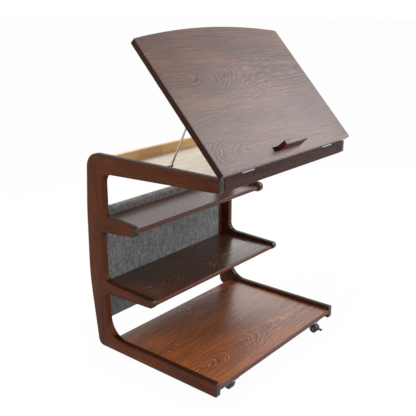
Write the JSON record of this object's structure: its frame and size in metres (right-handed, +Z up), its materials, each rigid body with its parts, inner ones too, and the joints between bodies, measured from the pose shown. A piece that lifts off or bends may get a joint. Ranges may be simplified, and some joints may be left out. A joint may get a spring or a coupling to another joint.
{
  "type": "rolling laptop table",
  "caption": "Wooden rolling laptop table: comb-shaped side frames, shelves, cloth-covered back, shallow tray under a tilting lid with stays and book stop, swivel casters.",
  "frame": {"origin": "on the floor under the middle of the whole table, lid tilted as pictured, right front caster trailing forward and left front caster trailing back", "axes": "+Z up, +X to the sitter's right across the table, +Y away from the sitter towards the cloth-covered back"},
  "size_m": [0.609, 0.4978, 0.9306],
  "materials": {
    "frame_wood": "dark walnut stain under gloss lacquer, open grain, rounded edges",
    "lid_wood": "walnut veneer under gloss lacquer, cathedral grain across the width",
    "shelf_wood": "walnut stain under gloss lacquer, grain across the width",
    "bare_wood": "pale finger-jointed softwood, clear satin lacquer",
    "panel_wood": "pale plywood panel, satin",
    "cloth": "grey heathered woven cloth",
    "steel": "bright zinc-plated steel",
    "caster_body": "black moulded nylon, satin",
    "caster_wheel": "black moulded nylon, smooth tread"
  },
  "bodies": {
    "frame": {"left_side_frame": "frame_wood", "right_side_frame": "frame_wood", "base_shelf": "shelf_wood", "mid_shelf": "shelf_wood", "upper_shelf": "shelf_wood", "back_board": "shelf_wood", "back_top_rail": "bare_wood", "back_cloth": "cloth", "tray_front_rail": "frame_wood", "tray_rear_rail": "bare_wood", "tray_bottom": "panel_wood", "left_hinge_rail_leaf": "steel", "right_hinge_rail_leaf": "steel", "left_hinge_pin": "steel", "right_hinge_pin": "steel", "left_stay_bracket": "steel", "right_stay_bracket": "steel", "base_shelf_left_dowel_front": "bare_wood", "base_shelf_left_dowel_rear": "bare_wood", "base_shelf_right_dowel_front": "bare_wood", "base_shelf_right_dowel_rear": "bare_wood", "mid_shelf_left_dowel_front": "bare_wood", "mid_shelf_left_dowel_rear": "bare_wood", "mid_shelf_right_dowel_front": "bare_wood", "mid_shelf_right_dowel_rear": "bare_wood", "upper_shelf_left_dowel_front": "bare_wood", "upper_shelf_left_dowel_rear": "bare_wood", "upper_shelf_right_dowel_front": "bare_wood", "upper_shelf_right_dowel_rear": "bare_wood", "front_left_caster_plate": "steel", "front_right_caster_plate": "steel", "rear_left_caster_plate": "steel", "rear_right_caster_plate": "steel"},
    "lid": {"lid": "lid_wood", "left_hinge_lid_leaf": "steel", "right_hinge_lid_leaf": "steel", "left_stay_slot_plate": "steel", "right_stay_slot_plate": "steel"},
    "book_stop": {"book_stop": "frame_wood"},
    "left_stay": {"left_stay_rod": "steel"},
    "right_stay": {"right_stay_rod": "steel"},
    "front_left_swivel": {"front_left_caster_hood": "caster_body", "front_left_caster_axle": "steel"},
    "front_left_left_wheel": {"front_left_caster_left_wheel": "caster_wheel"},
    "front_left_right_wheel": {"front_left_caster_right_wheel": "caster_wheel"},
    "front_left_brake": {"front_left_caster_brake_lever": "caster_body"},
    "front_right_swivel": {"front_right_caster_hood": "caster_body", "front_right_caster_axle": "steel"},
    "front_right_left_wheel": {"front_right_caster_left_wheel": "caster_wheel"},
    "front_right_right_wheel": {"front_right_caster_right_wheel": "caster_wheel"},
    "front_right_brake": {"front_right_caster_brake_lever": "caster_body"},
    "rear_left_swivel": {"rear_left_caster_hood": "caster_body", "rear_left_caster_axle": "steel"},
    "rear_left_left_wheel": {"rear_left_caster_left_wheel": "caster_wheel"},
    "rear_left_right_wheel": {"rear_left_caster_right_wheel": "caster_wheel"},
    "rear_right_swivel": {"rear_right_caster_hood": "caster_body", "rear_right_caster_axle": "steel"},
    "rear_right_left_wheel": {"rear_right_caster_left_wheel": "caster_wheel"},
    "rear_right_right_wheel": {"rear_right_caster_right_wheel": "caster_wheel"}
  },
  "joints": [
    {"name": "lid_tilt", "type": "hinge", "parent": "frame", "child": "lid", "pos_m": [0, -0.22942, 0.6065], "axis": [1, 0, 0], "range_deg": [-47, 0]},
    {"name": "book_stop_slide", "type": "slide", "parent": "lid", "child": "book_stop", "axis": [0, -0.7314, 0.682], "range_m": [-0.027, 0]},
    {"name": "left_stay_pivot", "type": "hinge", "parent": "frame", "child": "left_stay", "pos_m": [-0.258, -0.04152, 0.6015], "axis": [1, 0, 0], "range_deg": [-119.9, 0]},
    {"name": "right_stay_pivot", "type": "hinge", "parent": "frame", "child": "right_stay", "pos_m": [0.258, -0.04152, 0.6015], "axis": [1, 0, 0], "range_deg": [-119.9, 0]},
    {"name": "front_left_swivel_turn", "type": "hinge", "parent": "frame", "child": "front_left_swivel", "pos_m": [-0.21, -0.20442, 0.036], "axis": [0, 0, 1], "continuous": true},
    {"name": "front_left_left_wheel_roll", "type": "hinge", "parent": "front_left_swivel", "child": "front_left_left_wheel", "pos_m": [-0.21, -0.19642, 0.0125], "axis": [1, 0, 0], "continuous": true},
    {"name": "front_left_right_wheel_roll", "type": "hinge", "parent": "front_left_swivel", "child": "front_left_right_wheel", "pos_m": [-0.21, -0.19642, 0.0125], "axis": [1, 0, 0], "continuous": true},
    {"name": "front_left_brake_press", "type": "hinge", "parent": "front_left_swivel", "child": "front_left_brake", "pos_m": [-0.21, -0.17791, 0.0148], "axis": [-1, 0, 0], "range_deg": [0, 18]},
    {"name": "front_right_swivel_turn", "type": "hinge", "parent": "frame", "child": "front_right_swivel", "pos_m": [0.21, -0.20442, 0.036], "axis": [0, 0, 1], "continuous": true},
    {"name": "front_right_left_wheel_roll", "type": "hinge", "parent": "front_right_swivel", "child": "front_right_left_wheel", "pos_m": [0.21, -0.21241, 0.0125], "axis": [1, 0, 0], "continuous": true},
    {"name": "front_right_right_wheel_roll", "type": "hinge", "parent": "front_right_swivel", "child": "front_right_right_wheel", "pos_m": [0.21, -0.21241, 0.0125], "axis": [1, 0, 0], "continuous": true},
    {"name": "front_right_brake_press", "type": "hinge", "parent": "front_right_swivel", "child": "front_right_brake", "pos_m": [0.21, -0.23092, 0.0148], "axis": [1, 0, 0], "range_deg": [0, 18]},
    {"name": "rear_left_swivel_turn", "type": "hinge", "parent": "frame", "child": "rear_left_swivel", "pos_m": [-0.21, 0.14308, 0.036], "axis": [0, 0, 1], "continuous": true},
    {"name": "rear_left_left_wheel_roll", "type": "hinge", "parent": "rear_left_swivel", "child": "rear_left_left_wheel", "pos_m": [-0.21, 0.13509, 0.0125], "axis": [1, 0, 0], "continuous": true},
    {"name": "rear_left_right_wheel_roll", "type": "hinge", "parent": "rear_left_swivel", "child": "rear_left_right_wheel", "pos_m": [-0.21, 0.13509, 0.0125], "axis": [1, 0, 0], "continuous": true},
    {"name": "rear_right_swivel_turn", "type": "hinge", "parent": "frame", "child": "rear_right_swivel", "pos_m": [0.21, 0.14308, 0.036], "axis": [0, 0, 1], "continuous": true},
    {"name": "rear_right_left_wheel_roll", "type": "hinge", "parent": "rear_right_swivel", "child": "rear_right_left_wheel", "pos_m": [0.21, 0.13509, 0.0125], "axis": [1, 0, 0], "continuous": true},
    {"name": "rear_right_right_wheel_roll", "type": "hinge", "parent": "rear_right_swivel", "child": "rear_right_right_wheel", "pos_m": [0.21, 0.13509, 0.0125], "axis": [1, 0, 0], "continuous": true}
  ],
  "couplings": [
    {"joint": "left_stay_pivot", "follows": "lid_tilt", "ratio": 2.55},
    {"joint": "right_stay_pivot", "follows": "lid_tilt", "ratio": 2.55}
  ]
}
